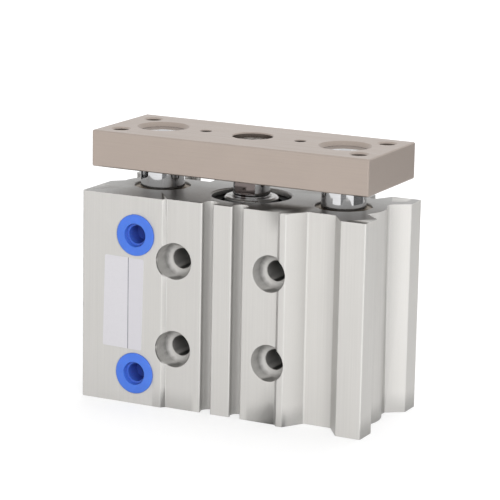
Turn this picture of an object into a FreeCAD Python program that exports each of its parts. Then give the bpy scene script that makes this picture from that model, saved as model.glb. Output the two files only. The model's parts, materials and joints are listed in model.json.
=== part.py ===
import FreeCAD, Part
import math
import os
from FreeCAD import Vector

# Compact guided pneumatic cylinder: an extruded aluminium body holds one bore and two guide
# bores, and an end plate rides on the piston rod and two guide rods. Millimetres, +Z is the
# stroke, the ports face -Y, and the origin is the centre of the body's bottom face.
# Everything is drawn with the plate retracted.

# --- Body and stroke -------------------------------------------------------------------------
STROKE = 20.0
BODY_BASE_LENGTH = 37.0            # body length of the same cylinder with no stroke
BODY_WIDTH = 83.0
BODY_DEPTH = 36.0
EDGE_RADIUS = 0.4                  # rounding of the extrusion's outer upright edges

# --- Bore, seats and retaining rings ---------------------------------------------------------
BORE_D = 20.0
SEAT_D = 21.4                      # wider seat at both ends of the bore
ROD_SEAT_DEPTH = 8.5
HEAD_SEAT_DEPTH = 7.0
MOUTH_CHAMFER = 0.4
RING_GROOVE_D = 22.8
RING_GROOVE_INSET = 1.5            # from the body's end to the groove
RING_T = 1.0
RING_WALL = 3.2
RING_GAP = 4.0
RING_EAR_R = 1.5
RING_EYE_D = 1.2

# --- Rods ------------------------------------------------------------------------------------
ROD_D = 10.0
ROD_FLATS = 8.0                    # across the wrench flats
ROD_FLATS_LENGTH = 5.2
GUIDE_PITCH = 54.0
GUIDE_ROD_D = 12.0
GUIDE_MOUTH_CHAMFER = 0.2
GUIDE_ROD_BOTTOM = 1.0             # height of the retracted rod ends above the body's bottom
GUIDE_ROD_SINK = 1.1               # rod tops below the plate's upper face
ROD_END_CHAMFER = 0.6
ROD_TOP_CHAMFER = 0.2
CENTRE_DRILL_D = 3.0
BUSHING_WALL = 1.5
UPPER_BUSHING_LENGTH = 14.0
LOWER_BUSHING_LENGTH = 12.0
BUSHING_INSET = 0.5
BUSHING_CHAMFER = 0.5
FELT_LENGTH = 3.0

# --- End plate -------------------------------------------------------------------------------
PLATE_GAP = 6.2                    # body to plate, retracted
PLATE_T = 9.8
PLATE_WIDTH = 81.0
PLATE_DEPTH = 30.0
PLATE_BEVEL = 0.3
PLATE_TAP_EDGE_X = 5.5             # tapped holes' axes from the plate's ends
PLATE_TAP_EDGE_Y = 6.0             # and from its long sides
GUIDE_SINK_D = 14.2                # countersink round each guide rod

# --- Tapped and dowel holes ------------------------------------------------------------------
TAP_D = 4.2                        # core of the M5 threads
TAP_MOUTH_D = 5.5
COUNTERSINK_ANGLE = 120.0
BODY_TAP_DEPTH = 13.0
BODY_TAP_EDGE = 5.5                # bottom tapped holes' axes from the body's ends
BODY_TAP_SIDE = 6.0                # and from its front and rear faces
DOWEL_D = 3.0
DOWEL_DEPTH = 6.0
DOWEL_PITCH = 28.0
DOWEL_CHAMFER = 0.2
DRILL_POINT_ANGLE = 118.0

# --- Side mounting holes ---------------------------------------------------------------------
SIDE_HOLE_D = 5.4
SIDE_HOLE_PITCH_X = 28.0
SIDE_HOLE_PITCH_Z = 24.0
SIDE_HOLE_FIRST_Z = 16.4
COUNTERBORE_D = 9.8
COUNTERBORE_DEPTH = 4.4
COUNTERBORE_CHAMFER = 0.15
SIDE_HOLE_CHAMFER = 0.3            # where the through hole leaves the counterbore's floor
SIDE_HOLE_REAR_CHAMFER = 0.4

# --- Ports and their plastic caps ------------------------------------------------------------
PORT_X = -25.2
PORT_FROM_TOP = 10.5
PORT_FROM_BOTTOM = 8.5
PORT_D = 8.6
PORT_DEPTH = 7.0
PORT_CHAMFER = 0.75
PASSAGE_D = 2.4
PASSAGE_BORE_X = -8.0              # where the air passages leave the bore, from its axis
PASSAGE_BORE_Y = -5.0
CAP_FLANGE_D = 11.2
CAP_FLANGE_T = 0.5
CAP_FLANGE_ROUND = 0.15
CAP_CUP_D = 6.4
CAP_SHELF_STEP = 0.2
CAP_SHELF_DEPTH = 1.4
CAP_WELL_D = 5.0
CAP_WELL_TAPER = 0.3
CAP_LENGTH = 6.6
CAP_FLOOR = 0.9
CAP_NOSE_CHAMFER = 0.6

# --- Body section: front face ----------------------------------------------------------------
RELIEF_DEPTH = 1.1                 # centre panel, sunk between the port panel and a lip
RELIEF_HALF_WIDTH = 16.3
RELIEF_BEVEL = 0.95
RELIEF_RADIUS = 0.3
SWITCH_GROOVE_D = 4.2
SWITCH_GROOVE_MOUTH = 3.1
SWITCH_GROOVE_DEPTH = 4.2
SWITCH_GROOVE_X = 4.4
VALLEY_DEPTH = 5.9
VALLEY_MOUTH_INNER = 19.0
VALLEY_MOUTH_OUTER = 34.5
VALLEY_FLOOR_INNER = 22.5
VALLEY_FLOOR_OUTER = 30.4
VALLEY_RADIUS = 0.7

# --- Body section: ends and rear -------------------------------------------------------------
GUIDE_BOSS_R = 11.6
END_PILLAR_FRONT = 11.0            # where the front pillar's end face stops, from the guide's axis
PORT_PILLAR_FRONT = 3.0            # the same beside the ports, where the pillar is wider
END_PILLAR_REAR = 11.5             # the same for both rear pillars
END_RECESS_DEPTH = 4.6             # from the body's end to the foot of the rear pillar's slope
END_RECESS_REAR_RISE = 3.2         # how far that slope runs towards the rear
T_SLOT_X = 22.0
T_SLOT_MOUTH = 5.4
T_SLOT_WIDTH = 8.4
T_SLOT_LIP = 2.8
T_SLOT_DEPTH = 7.8
T_SLOT_RADIUS = 0.3
REAR_RECESS_DEPTH = 5.2
REAR_RECESS_MOUTH_OUTER = 33.2
REAR_RECESS_FLOOR_OUTER = 30.4
T_SLOT_OUTER_WALL = 2.1
RECESS_RADIUS = 0.8

# --- Collar, seals and bumpers ---------------------------------------------------------------
COLLAR_NOSE_D = 14.5
COLLAR_NOSE_SINK = 0.1
COLLAR_SKIRT_LENGTH = 4.6
COLLAR_SKIRT_D = 18.4
COLLAR_LIP_T = 2.2                 # inward lip over the rod seal
COLLAR_LIP_FIT = 0.15              # radial, lip to rod
ROD_BUSHING_WALL = 1.0
ROD_SEAL_WALL = 1.6
ROD_SEAL_T = 2.8
ROD_SEAL_LIP_T = 0.35
ROD_SEAL_CUP_DEPTH = 1.7
ROD_SEAL_WIPER = 0.6               # height of the wiping edge's bevel
O_RING_DEPTH = 1.8
O_RING_WIDTH = 2.2
O_RING_INSET = 1.4
O_RING_CORNER = 0.5
BUMPER_T = 1.7
BUMPER_ROD_SIDE_D = 17.0
BUMPER_HEAD_SIDE_D = 15.0
BUMPER_HOLE_D = 12.2
HEAD_RECESS_D = 13.0
HEAD_RECESS_DEPTH = 1.2

# --- Piston ----------------------------------------------------------------------------------
PISTON_LENGTH = 13.0
MAGNET_T = 3.2
MAGNET_DEPTH = 2.0
PISTON_SEAL_T = 2.4
PISTON_SEAL_DEPTH = 2.6
PISTON_SEAL_WAIST = 0.8            # how far the waist between the lips is drawn in
PISTON_SEAL_LIP_T = 0.7
WEAR_RING_T = 2.6
WEAR_RING_DEPTH = 1.2
PISTON_LAND = 1.4
SPIGOT_D = 6.0
NUT_T = 2.8
NUT_ACROSS_FLATS = 9.5
NUT_RECESS_D = 11.6

# --- Plate screw -----------------------------------------------------------------------------
SCREW_D = 6.0
SCREW_HEAD_D = 10.0
SCREW_HEAD_T = 4.0
SCREW_SINK = 1.2                   # head top below the plate's upper face
SCREW_SOCKET = 4.0
SCREW_SOCKET_DEPTH = 2.2
SCREW_REACH = 11.0                 # thread length inside the rod
SCREW_TIP_ROOM = 1.0
SCREW_HEAD_ROOM = 0.4              # radial, head to its counterbore
SCREW_SHANK_ROOM = 0.2             # radial, shank to the plate's hole

# --- Clearances ------------------------------------------------------------------------------
SEAT_FIT = 0.02                    # radial, between parts that are pressed or clamped together
RUN_FIT = 0.03                     # radial, between sliding parts
BORE_FIT = 0.1                     # radial, piston body to bore
STOP_FIT = 0.2                     # piston to bumper at either end of the stroke
PAST = 1.0                         # how far a cutting tool runs past a face

# --- Places that follow from the sizes -------------------------------------------------------
BODY_HEIGHT = BODY_BASE_LENGTH + STROKE
HALF_WIDTH = BODY_WIDTH / 2
FRONT_Y = -BODY_DEPTH / 2
REAR_Y = BODY_DEPTH / 2
PANEL_Y = FRONT_Y + RELIEF_DEPTH
GUIDE_X = GUIDE_PITCH / 2
GUIDE_BORE_R = GUIDE_ROD_D / 2 + RUN_FIT + BUSHING_WALL + SEAT_FIT
PLATE_BOTTOM = BODY_HEIGHT + PLATE_GAP
PLATE_TOP = PLATE_BOTTOM + PLATE_T
ROD_SEAT_Z = BODY_HEIGHT - ROD_SEAT_DEPTH
RING_TOP_Z = BODY_HEIGHT - RING_GROOVE_INSET - RING_T
HEAD_COVER_Z = RING_GROOVE_INSET + RING_T
PISTON_BOTTOM = HEAD_SEAT_DEPTH + BUMPER_T + STOP_FIT
PISTON_TOP = PISTON_BOTTOM + PISTON_LENGTH
UPPER_BUSHING_TOP = BODY_HEIGHT - BUSHING_INSET
SCREW_SEAT_Z = PLATE_TOP - SCREW_SINK - SCREW_HEAD_T
SIDES = {"left": -1, "right": 1}


# --- Helpers ---------------------------------------------------------------------------------
def z_cylinder(radius, bottom, top, x=0.0, y=0.0):
    return Part.makeCylinder(radius, top - bottom, Vector(x, y, bottom))


def z_tube(outer_r, inner_r, bottom, top, x=0.0, y=0.0):
    return z_cylinder(outer_r, bottom, top, x, y).cut(z_cylinder(inner_r, bottom - PAST, top + PAST, x, y))


def revolved(profile, x=0.0, y=0.0):
    """Solid of revolution about an upright axis, from a closed (radius, height) profile."""
    points = [Vector(radius, 0, height) for radius, height in profile]
    face = Part.Face(Part.makePolygon(points + points[:1]))
    solid = face.revolve(Vector(0, 0, 0), Vector(0, 0, 1), 360)
    solid.translate(Vector(x, y, 0))
    return solid


def hexagon(across_flats, bottom, top):
    corner_r = across_flats / math.sqrt(3)
    corners = [Vector(corner_r * math.cos(math.radians(60 * step)),
                      corner_r * math.sin(math.radians(60 * step)), bottom) for step in range(7)]
    return Part.Face(Part.makePolygon(corners)).extrude(Vector(0, 0, top - bottom))


def cone_depth(width, angle):
    """Depth of a cone of this full angle over a step of this width in radius."""
    return width / math.tan(math.radians(angle / 2))


def drilled(diameter, depth, mouth_d, centre, direction, mouth_angle=90.0):
    """Blind drilled hole with a countersunk mouth and a drill point, as a solid to cut away."""
    radius = diameter / 2
    mouth_r = mouth_d / 2
    sink = cone_depth(mouth_r - radius, mouth_angle)
    point = cone_depth(radius, DRILL_POINT_ANGLE)
    tool = revolved([(0, PAST), (mouth_r, PAST), (mouth_r, 0), (radius, -sink), (radius, -depth),
                     (0, -depth - point)])
    tool.Placement = FreeCAD.Placement(centre, FreeCAD.Rotation(Vector(0, 0, 1), direction * -1))
    return tool


def rounded_face(corners):
    """Flat face on z = 0 from (x, y, radius) corners, with tangent arcs where radius > 0."""
    edges = []
    joints = []
    count = len(corners)
    for index, (x, y, radius) in enumerate(corners):
        corner = Vector(x, y, 0)
        if radius <= 0:
            joints.append((corner, corner))
            continue
        before = (Vector(*corners[index - 1][:2], 0) - corner).normalize()
        after = (Vector(*corners[(index + 1) % count][:2], 0) - corner).normalize()
        half = before.getAngle(after) / 2
        start = corner + before * (radius / math.tan(half))
        end = corner + after * (radius / math.tan(half))
        middle = corner + (before + after).normalize() * (radius / math.sin(half) - radius)
        edges.append(Part.Arc(start, middle, end).toShape())
        joints.append((start, end))
    for index, (_, leave) in enumerate(joints):
        arrive = joints[(index + 1) % count][0]
        if leave.distanceToPoint(arrive) > 1e-6:
            edges.append(Part.LineSegment(leave, arrive).toShape())
    return Part.Face(Part.Wire(Part.__sortEdges__(edges)))


def circle_face(x, y, radius):
    return Part.Face(Part.Wire(Part.Circle(Vector(x, y, 0), Vector(0, 0, 1), radius).toShape()))


def mirrored_x(shape):
    return shape.mirror(Vector(0, 0, 0), Vector(1, 0, 0))


def export(name, shape):
    if not shape.isValid():
        raise ValueError(name + " is not a valid solid")
    shape.exportStep("parts/" + name + ".step")


# --- Body ------------------------------------------------------------------------------------
def relief_face():
    outside = FRONT_Y - PAST
    half = RELIEF_HALF_WIDTH
    mouth = half + RELIEF_BEVEL
    return rounded_face([(-mouth, outside, 0), (mouth, outside, 0), (mouth, FRONT_Y, 0),
                         (half, PANEL_Y, RELIEF_RADIUS), (-half, PANEL_Y, RELIEF_RADIUS),
                         (-mouth, FRONT_Y, 0)])


def switch_groove_face(x):
    """Round-bottomed groove for a magnetic switch, with a mouth narrower than its bottom."""
    radius = SWITCH_GROOVE_D / 2
    centre_y = PANEL_Y + SWITCH_GROOVE_DEPTH - radius
    half = SWITCH_GROOVE_MOUTH / 2
    mouth = rounded_face([(x - half, FRONT_Y - PAST, 0), (x + half, FRONT_Y - PAST, 0),
                          (x + half, centre_y, 0), (x - half, centre_y, 0)])
    return circle_face(x, centre_y, radius).fuse(mouth)


def valley_face():
    outside = FRONT_Y - PAST
    floor_y = FRONT_Y + VALLEY_DEPTH
    return rounded_face([(VALLEY_MOUTH_INNER, outside, 0), (VALLEY_MOUTH_OUTER, outside, 0),
                         (VALLEY_MOUTH_OUTER, FRONT_Y, 0),
                         (VALLEY_FLOOR_OUTER, floor_y, VALLEY_RADIUS),
                         (VALLEY_FLOOR_INNER, floor_y, VALLEY_RADIUS),
                         (VALLEY_MOUTH_INNER, FRONT_Y, 0)])


def end_recess_face(front_pillar):
    """Notch in the right end between the pillars, round the guide boss. Its front side runs in
    at 45 degrees, and its rear side is flatter and ends in a short upright foot."""
    outside = HALF_WIDTH + PAST
    foot_x = HALF_WIDTH - END_RECESS_DEPTH
    foot_y = END_PILLAR_REAR - END_RECESS_REAR_RISE
    notch = rounded_face([(outside, -front_pillar, 0), (outside, END_PILLAR_REAR, 0),
                          (HALF_WIDTH, END_PILLAR_REAR, 0), (foot_x, foot_y, 0), (foot_x, 0, 0),
                          (HALF_WIDTH - front_pillar, 0, 0), (HALF_WIDTH, -front_pillar, 0)])
    return notch.cut(circle_face(GUIDE_X, 0, GUIDE_BOSS_R))


def t_slot_faces():
    outside = REAR_Y + PAST
    lip_y = REAR_Y - T_SLOT_LIP
    floor_y = REAR_Y - T_SLOT_DEPTH
    mouth = T_SLOT_MOUTH / 2
    half = T_SLOT_WIDTH / 2
    return [rounded_face([(x - mouth, outside, 0), (x - mouth, lip_y, 0), (x - half, lip_y, 0),
                          (x - half, floor_y, T_SLOT_RADIUS), (x + half, floor_y, T_SLOT_RADIUS),
                          (x + half, lip_y, 0), (x + mouth, lip_y, 0), (x + mouth, outside, 0)])
            for x in (-T_SLOT_X, T_SLOT_X)]


def rear_recess_face():
    outside = REAR_Y + PAST
    floor_y = REAR_Y - REAR_RECESS_DEPTH
    inner = T_SLOT_X + T_SLOT_WIDTH / 2 + T_SLOT_OUTER_WALL
    return rounded_face([(inner, outside, 0), (inner, floor_y, RECESS_RADIUS),
                         (REAR_RECESS_FLOOR_OUTER, floor_y, RECESS_RADIUS),
                         (REAR_RECESS_MOUTH_OUTER, REAR_Y, 0), (REAR_RECESS_MOUTH_OUTER, outside, 0)])


def convex_uprights(solid):
    """Outer upright edges of an extrusion whose material fills less than half a turn."""
    found = []
    probe_r = 0.1
    probe_count = 24
    turns = [2 * math.pi * step / probe_count for step in range(probe_count)]
    for edge in solid.Edges:
        if len(edge.Vertexes) != 2 or abs(edge.tangentAt(edge.FirstParameter).z) < 0.999:
            continue
        middle = edge.CenterOfMass
        probes = [middle + Vector(probe_r * math.cos(turn), probe_r * math.sin(turn), 0) for turn in turns]
        inside = sum(solid.isInside(probe, 1e-6, True) for probe in probes)
        if inside < probe_count / 2 - 1:
            found.append(edge)
    return found


def extrusion():
    blank = rounded_face([(-HALF_WIDTH, FRONT_Y, 0), (HALF_WIDTH, FRONT_Y, 0),
                          (HALF_WIDTH, REAR_Y, 0), (-HALF_WIDTH, REAR_Y, 0)])
    right_recess = end_recess_face(END_PILLAR_FRONT)
    left_recess = mirrored_x(end_recess_face(PORT_PILLAR_FRONT))
    rear_right = rear_recess_face()
    cuts = [relief_face(), switch_groove_face(-SWITCH_GROOVE_X), switch_groove_face(SWITCH_GROOVE_X),
            valley_face(), right_recess, left_recess, rear_right, mirrored_x(rear_right)] + t_slot_faces()
    section = blank.cut(cuts)
    solid = section.Faces[0].extrude(Vector(0, 0, BODY_HEIGHT))
    return solid.makeFillet(EDGE_RADIUS, convex_uprights(solid))


def bore_cut():
    """Piston bore with its two seats, their mouth chamfers and the retaining ring grooves."""
    bore_r = BORE_D / 2
    seat_r = SEAT_D / 2
    groove_r = RING_GROOVE_D / 2
    mouth_r = seat_r + MOUTH_CHAMFER
    low_groove = RING_GROOVE_INSET - SEAT_FIT
    high_groove = BODY_HEIGHT - RING_GROOVE_INSET + SEAT_FIT
    return revolved([(0, -PAST), (mouth_r, -PAST), (mouth_r, 0), (seat_r, MOUTH_CHAMFER),
                     (seat_r, low_groove), (groove_r, low_groove), (groove_r, HEAD_COVER_Z),
                     (seat_r, HEAD_COVER_Z), (seat_r, HEAD_SEAT_DEPTH), (bore_r, HEAD_SEAT_DEPTH),
                     (bore_r, ROD_SEAT_Z), (seat_r, ROD_SEAT_Z), (seat_r, RING_TOP_Z),
                     (groove_r, RING_TOP_Z), (groove_r, high_groove), (seat_r, high_groove),
                     (seat_r, BODY_HEIGHT - MOUTH_CHAMFER), (mouth_r, BODY_HEIGHT),
                     (mouth_r, BODY_HEIGHT + PAST), (0, BODY_HEIGHT + PAST)])


def guide_bore_cut(x):
    mouth_r = GUIDE_BORE_R + GUIDE_MOUTH_CHAMFER
    return revolved([(0, -PAST), (mouth_r, -PAST), (mouth_r, 0), (GUIDE_BORE_R, GUIDE_MOUTH_CHAMFER),
                     (GUIDE_BORE_R, BODY_HEIGHT - GUIDE_MOUTH_CHAMFER), (mouth_r, BODY_HEIGHT),
                     (mouth_r, BODY_HEIGHT + PAST), (0, BODY_HEIGHT + PAST)], x)


def side_hole_cut(x, z):
    """Through hole with a counterbore from the front panel."""
    hole_r = SIDE_HOLE_D / 2
    bore_r = COUNTERBORE_D / 2
    mouth_r = bore_r + COUNTERBORE_CHAMFER
    rear_r = hole_r + SIDE_HOLE_REAR_CHAMFER
    floor = COUNTERBORE_DEPTH
    length = REAR_Y - PANEL_Y
    tool = revolved([(0, -PAST), (mouth_r, -PAST), (mouth_r, 0), (bore_r, COUNTERBORE_CHAMFER),
                     (bore_r, floor), (hole_r + SIDE_HOLE_CHAMFER, floor),
                     (hole_r, floor + SIDE_HOLE_CHAMFER), (hole_r, length - SIDE_HOLE_REAR_CHAMFER),
                     (rear_r, length), (rear_r, length + PAST),
                     (0, length + PAST)])
    tool.Placement = FreeCAD.Placement(Vector(x, PANEL_Y, z), FreeCAD.Rotation(Vector(1, 0, 0), -90))
    return tool


def passage_cut(port_z, bore_z):
    """Sloping drilling from the bore wall, just past a seat, to the foot of a port."""
    inward = math.copysign(1, BODY_HEIGHT / 2 - port_z)
    bore_end = Vector(PASSAGE_BORE_X, PASSAGE_BORE_Y, bore_z)
    port_end = Vector(PORT_X + PORT_D / 4, FRONT_Y + PORT_DEPTH - PASSAGE_D / 2,
                      port_z + inward * (PORT_D - PASSAGE_D) / 2)
    way = port_end - bore_end
    return Part.makeCylinder(PASSAGE_D / 2, way.Length, bore_end, way)


def port_heights():
    return {"upper": BODY_HEIGHT - PORT_FROM_TOP, "lower": PORT_FROM_BOTTOM}


def housing():
    up = Vector(0, 0, 1)
    cuts = [bore_cut()] + [guide_bore_cut(side * GUIDE_X) for side in SIDES.values()]
    for x in (-SIDE_HOLE_PITCH_X / 2, SIDE_HOLE_PITCH_X / 2):
        cuts += [side_hole_cut(x, z) for z in (SIDE_HOLE_FIRST_Z, SIDE_HOLE_FIRST_Z + SIDE_HOLE_PITCH_Z)]
    for side in SIDES.values():
        for y in (FRONT_Y + BODY_TAP_SIDE, REAR_Y - BODY_TAP_SIDE):
            cuts.append(drilled(TAP_D, BODY_TAP_DEPTH, TAP_MOUTH_D,
                                Vector(side * (HALF_WIDTH - BODY_TAP_EDGE), y, 0), up, COUNTERSINK_ANGLE))
        cuts.append(drilled(DOWEL_D, DOWEL_DEPTH, DOWEL_D + 2 * DOWEL_CHAMFER,
                            Vector(side * DOWEL_PITCH / 2, 0, 0), up))
    passage_starts = {"upper": ROD_SEAT_Z - PASSAGE_D / 2, "lower": HEAD_SEAT_DEPTH + PASSAGE_D / 2}
    for name, z in port_heights().items():
        cuts.append(drilled(PORT_D, PORT_DEPTH, PORT_D + 2 * PORT_CHAMFER, Vector(PORT_X, FRONT_Y, z),
                            Vector(0, 1, 0)))
        cuts.append(passage_cut(z, passage_starts[name]))
    return extrusion().cut(cuts)


# --- Retaining rings -------------------------------------------------------------------------
def retaining_ring(bottom, gap_direction):
    """Internal ring with two ears and plier eyes; the gap opens towards +Y or -Y."""
    outer_r = RING_GROOVE_D / 2 - SEAT_FIT
    inner_r = outer_r - RING_WALL
    top = bottom + RING_T
    ear_x = RING_GAP / 2 + RING_EAR_R
    ear_centre_r = COLLAR_NOSE_D / 2 + STOP_FIT + RING_EAR_R
    ear_y = gap_direction * math.sqrt(ear_centre_r ** 2 - ear_x ** 2)
    ears = [z_cylinder(RING_EAR_R, bottom, top, x, ear_y) for x in (-ear_x, ear_x)]
    eyes = [z_cylinder(RING_EYE_D / 2, bottom - PAST, top + PAST, x, ear_y) for x in (-ear_x, ear_x)]
    gap_half = RING_GAP / 2
    far = gap_direction * (outer_r + PAST)
    gap = rounded_face([(-gap_half, 0, 0), (gap_half, 0, 0), (gap_half, far, 0), (-gap_half, far, 0)])
    gap = gap.extrude(Vector(0, 0, top + PAST))
    ring = z_tube(outer_r, inner_r, bottom, top)
    return ring.fuse(ears).cut(eyes + [gap])


# --- Rod end: collar, bushing, seal, bumper --------------------------------------------------
def o_ring_groove_bottom_r():
    return SEAT_D / 2 - O_RING_DEPTH


def o_ring(bottom):
    """Sealing ring squeezed between a groove and the seat, with rounded-off corners."""
    inner = o_ring_groove_bottom_r() + SEAT_FIT
    outer = SEAT_D / 2 - SEAT_FIT
    top = bottom + O_RING_WIDTH
    corner = O_RING_CORNER
    return revolved([(inner + corner, bottom), (outer - corner, bottom), (outer, bottom + corner),
                     (outer, top - corner), (outer - corner, top), (inner + corner, top),
                     (inner, top - corner), (inner, bottom + corner)])


def rod_collar():
    seat_r = SEAT_D / 2 - SEAT_FIT
    skirt_r = COLLAR_SKIRT_D / 2
    nose_r = COLLAR_NOSE_D / 2
    groove_low = ROD_SEAT_Z + O_RING_INSET
    groove_high = groove_low + O_RING_WIDTH
    nose_top = BODY_HEIGHT - COLLAR_NOSE_SINK
    skirt_bottom = ROD_SEAT_Z - COLLAR_SKIRT_LENGTH
    bushing_r = ROD_D / 2 + RUN_FIT + ROD_BUSHING_WALL + SEAT_FIT
    seal_r = ROD_D / 2 + ROD_SEAL_WALL
    seal_top = nose_top - COLLAR_LIP_T
    seal_bottom = seal_top - ROD_SEAL_T
    lip_r = ROD_D / 2 + COLLAR_LIP_FIT
    chamfer = MOUTH_CHAMFER
    return revolved([(bushing_r, skirt_bottom), (skirt_r, skirt_bottom), (skirt_r, ROD_SEAT_Z),
                     (seat_r, ROD_SEAT_Z), (seat_r, groove_low), (o_ring_groove_bottom_r(), groove_low),
                     (o_ring_groove_bottom_r(), groove_high), (seat_r, groove_high), (seat_r, RING_TOP_Z),
                     (nose_r, RING_TOP_Z), (nose_r, nose_top - chamfer), (nose_r - chamfer, nose_top),
                     (lip_r + chamfer, nose_top), (lip_r, nose_top - chamfer), (lip_r, seal_top),
                     (seal_r, seal_top), (seal_r, seal_bottom), (bushing_r, seal_bottom)])


def rod_bushing():
    skirt_bottom = ROD_SEAT_Z - COLLAR_SKIRT_LENGTH
    inner_r = ROD_D / 2 + RUN_FIT
    seal_bottom = BODY_HEIGHT - COLLAR_NOSE_SINK - COLLAR_LIP_T - ROD_SEAL_T
    return z_tube(inner_r + ROD_BUSHING_WALL, inner_r, skirt_bottom, seal_bottom)


def rod_seal():
    """U-cup rod seal: the open side faces the pressure, below."""
    inner = ROD_D / 2 + RUN_FIT
    outer = ROD_D / 2 + ROD_SEAL_WALL - SEAT_FIT
    top = BODY_HEIGHT - COLLAR_NOSE_SINK - COLLAR_LIP_T
    bottom = top - ROD_SEAL_T
    middle = (inner + outer) / 2
    lip = ROD_SEAL_LIP_T
    return revolved([(inner, bottom), (inner + lip, bottom), (middle, bottom + ROD_SEAL_CUP_DEPTH),
                     (outer - lip, bottom), (outer, bottom), (outer, top), (inner + lip, top),
                     (inner, top - ROD_SEAL_WIPER)])


def bumper_rod_side():
    top = ROD_SEAT_Z - COLLAR_SKIRT_LENGTH
    return z_tube(BUMPER_ROD_SIDE_D / 2, BUMPER_HOLE_D / 2, top - BUMPER_T, top)


# --- Head end --------------------------------------------------------------------------------
def head_groove_bottom():
    return (HEAD_COVER_Z + HEAD_SEAT_DEPTH - O_RING_WIDTH) / 2


def head_cover():
    seat_r = SEAT_D / 2 - SEAT_FIT
    groove_low = head_groove_bottom()
    groove_high = groove_low + O_RING_WIDTH
    recess_r = HEAD_RECESS_D / 2
    return revolved([(0, HEAD_COVER_Z + HEAD_RECESS_DEPTH), (recess_r, HEAD_COVER_Z + HEAD_RECESS_DEPTH),
                     (recess_r + MOUTH_CHAMFER, HEAD_COVER_Z), (seat_r, HEAD_COVER_Z), (seat_r, groove_low),
                     (o_ring_groove_bottom_r(), groove_low), (o_ring_groove_bottom_r(), groove_high),
                     (seat_r, groove_high), (seat_r, HEAD_SEAT_DEPTH), (0, HEAD_SEAT_DEPTH)])


def bumper_head_side():
    return z_tube(BUMPER_HEAD_SIDE_D / 2, BUMPER_HOLE_D / 2, HEAD_SEAT_DEPTH, HEAD_SEAT_DEPTH + BUMPER_T)


# --- Guide bushings and oil felts ------------------------------------------------------------
def guide_bushing(x, bottom, top):
    inner = GUIDE_ROD_D / 2 + RUN_FIT
    outer = inner + BUSHING_WALL
    chamfer = BUSHING_CHAMFER
    return revolved([(inner, bottom + chamfer), (inner + chamfer, bottom), (outer, bottom), (outer, top),
                     (inner + chamfer, top), (inner, top - chamfer)], x)


def oil_felt(x):
    top = UPPER_BUSHING_TOP - UPPER_BUSHING_LENGTH
    return z_tube(GUIDE_BORE_R - SEAT_FIT, GUIDE_ROD_D / 2 + BORE_FIT, top - FELT_LENGTH, top, x)


# --- Port caps -------------------------------------------------------------------------------
def port_cap(z):
    """Push-in transit cap: thin flange on the face, hollow stem inside the port."""
    flange_r = CAP_FLANGE_D / 2
    stem_r = PORT_D / 2 - BORE_FIT
    cup_r = CAP_CUP_D / 2
    well_r = CAP_WELL_D / 2
    well_depth = CAP_LENGTH - CAP_FLOOR
    edge = CAP_FLANGE_ROUND
    nose = CAP_NOSE_CHAMFER
    cap = revolved([(cup_r, 0), (flange_r - edge, 0), (flange_r, edge), (flange_r, CAP_FLANGE_T),
                    (stem_r, CAP_FLANGE_T), (stem_r, CAP_LENGTH - nose), (stem_r - nose, CAP_LENGTH),
                    (0, CAP_LENGTH), (0, well_depth), (well_r - CAP_WELL_TAPER, well_depth),
                    (well_r, CAP_SHELF_DEPTH), (cup_r - CAP_SHELF_STEP, CAP_SHELF_DEPTH)])
    cap.Placement = FreeCAD.Placement(Vector(PORT_X, FRONT_Y - CAP_FLANGE_T, z),
                                      FreeCAD.Rotation(Vector(1, 0, 0), -90))
    return cap


# --- Moving group ----------------------------------------------------------------------------
def end_plate():
    plate = Part.makeBox(PLATE_WIDTH, PLATE_DEPTH, PLATE_T,
                         Vector(-PLATE_WIDTH / 2, -PLATE_DEPTH / 2, PLATE_BOTTOM))
    plate = plate.makeChamfer(PLATE_BEVEL, plate.Edges)
    rod_r = GUIDE_ROD_D / 2 + SEAT_FIT
    sink_r = GUIDE_SINK_D / 2
    sink = sink_r - rod_r
    cuts = []
    for side in SIDES.values():
        cuts.append(revolved([(0, PLATE_BOTTOM - PAST), (rod_r, PLATE_BOTTOM - PAST),
                              (rod_r, PLATE_TOP - sink), (sink_r, PLATE_TOP), (sink_r, PLATE_TOP + PAST),
                              (0, PLATE_TOP + PAST)], side * GUIDE_X))
        cuts.append(drilled(DOWEL_D, DOWEL_DEPTH, DOWEL_D + 2 * DOWEL_CHAMFER,
                            Vector(side * DOWEL_PITCH / 2, 0, PLATE_TOP), Vector(0, 0, -1)))
        for front in (-1, 1):
            cuts.append(tapped_through(side * (PLATE_WIDTH / 2 - PLATE_TAP_EDGE_X),
                                       front * (PLATE_DEPTH / 2 - PLATE_TAP_EDGE_Y)))
    head_r = SCREW_HEAD_D / 2 + SCREW_HEAD_ROOM
    hole_r = SCREW_D / 2 + SCREW_SHANK_ROOM
    cuts.append(revolved([(0, PLATE_BOTTOM - PAST), (hole_r, PLATE_BOTTOM - PAST), (hole_r, SCREW_SEAT_Z),
                          (head_r, SCREW_SEAT_Z), (head_r, PLATE_TOP - PLATE_BEVEL),
                          (head_r + PLATE_BEVEL, PLATE_TOP), (head_r + PLATE_BEVEL, PLATE_TOP + PAST),
                          (0, PLATE_TOP + PAST)]))
    return plate.cut(cuts)


def tapped_through(x, y):
    core_r = TAP_D / 2
    mouth_r = TAP_MOUTH_D / 2
    sink = cone_depth(mouth_r - core_r, COUNTERSINK_ANGLE)
    return revolved([(0, PLATE_BOTTOM - PAST), (mouth_r, PLATE_BOTTOM - PAST), (mouth_r, PLATE_BOTTOM),
                     (core_r, PLATE_BOTTOM + sink), (core_r, PLATE_TOP - sink), (mouth_r, PLATE_TOP),
                     (mouth_r, PLATE_TOP + PAST), (0, PLATE_TOP + PAST)], x, y)


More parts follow.
